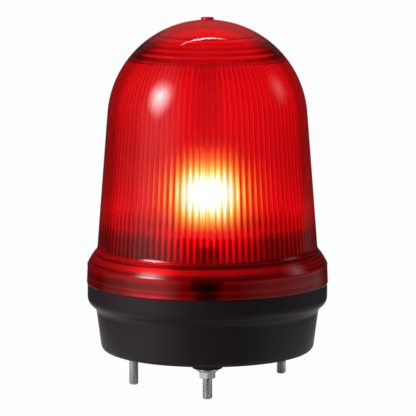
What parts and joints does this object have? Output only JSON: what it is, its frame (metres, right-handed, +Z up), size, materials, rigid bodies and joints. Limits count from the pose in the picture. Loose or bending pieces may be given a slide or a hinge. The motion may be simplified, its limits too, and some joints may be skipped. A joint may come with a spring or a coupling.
{
  "type": "led warning beacon",
  "caption": "Red domed LED warning beacon: ribbed transparent lens twist-locked onto a black stepped cup with threaded mounting studs, flange nuts and sealing washers.",
  "frame": {"origin": "centre of the cup's flat bottom face", "axes": "+Z up along the lens axis, -Y towards the front stud"},
  "size_m": [0.1246, 0.1246, 0.1946],
  "materials": {
    "lens_red": "clear polished moulding",
    "housing_black": "satin moulding",
    "rubber_black": "matt",
    "zinc_steel": "bright zinc plate",
    "screw_steel": "nickel plate",
    "board_green": "solder resist",
    "can_blue": "printed sleeve, left plain",
    "winding_copper": "enamelled wire",
    "chip_black": "moulded epoxy",
    "terminal_green": "moulding",
    "socket_ivory": "moulding",
    "loom_red": "soft sleeve",
    "plate_black": "satin moulding",
    "sleeve_frosted": "frosted diffuser",
    "post_aluminium": "extruded",
    "board_white": "white solder resist",
    "led_lit": "lit LED packages"
  },
  "bodies": {
    "base": {"base_cup": "housing_black", "lens_collar": "housing_black", "lens_gasket": "rubber_black", "stud_seals": "rubber_black", "cable_grommet": "rubber_black", "mounting_studs": "zinc_steel", "stud_flange_nuts": "zinc_steel", "stud_washers": "zinc_steel", "stud_inner_nuts": "zinc_steel", "collar_screws": "screw_steel", "board_screws": "screw_steel", "terminal_screws": "screw_steel", "plate_screws": "screw_steel", "post_screws": "screw_steel", "top_screws": "screw_steel", "driver_board": "board_green", "filter_capacitors": "can_blue", "choke_coil": "winding_copper", "driver_chips": "chip_black", "terminal_block": "terminal_green", "loom_socket": "socket_ivory", "led_loom": "loom_red", "led_plate": "plate_black", "light_sleeve": "sleeve_frosted", "led_post": "post_aluminium", "side_boards": "board_white", "top_board": "board_white", "side_leds": "led_lit", "top_leds": "led_lit"},
    "lens": {"lens": "lens_red"}
  },
  "joints": [
    {"name": "lens_twist", "type": "hinge", "parent": "base", "child": "lens", "pos_m": [0, 0, 0.0351], "axis": [0, 0, 1], "range_deg": [0, 24]}
  ]
}
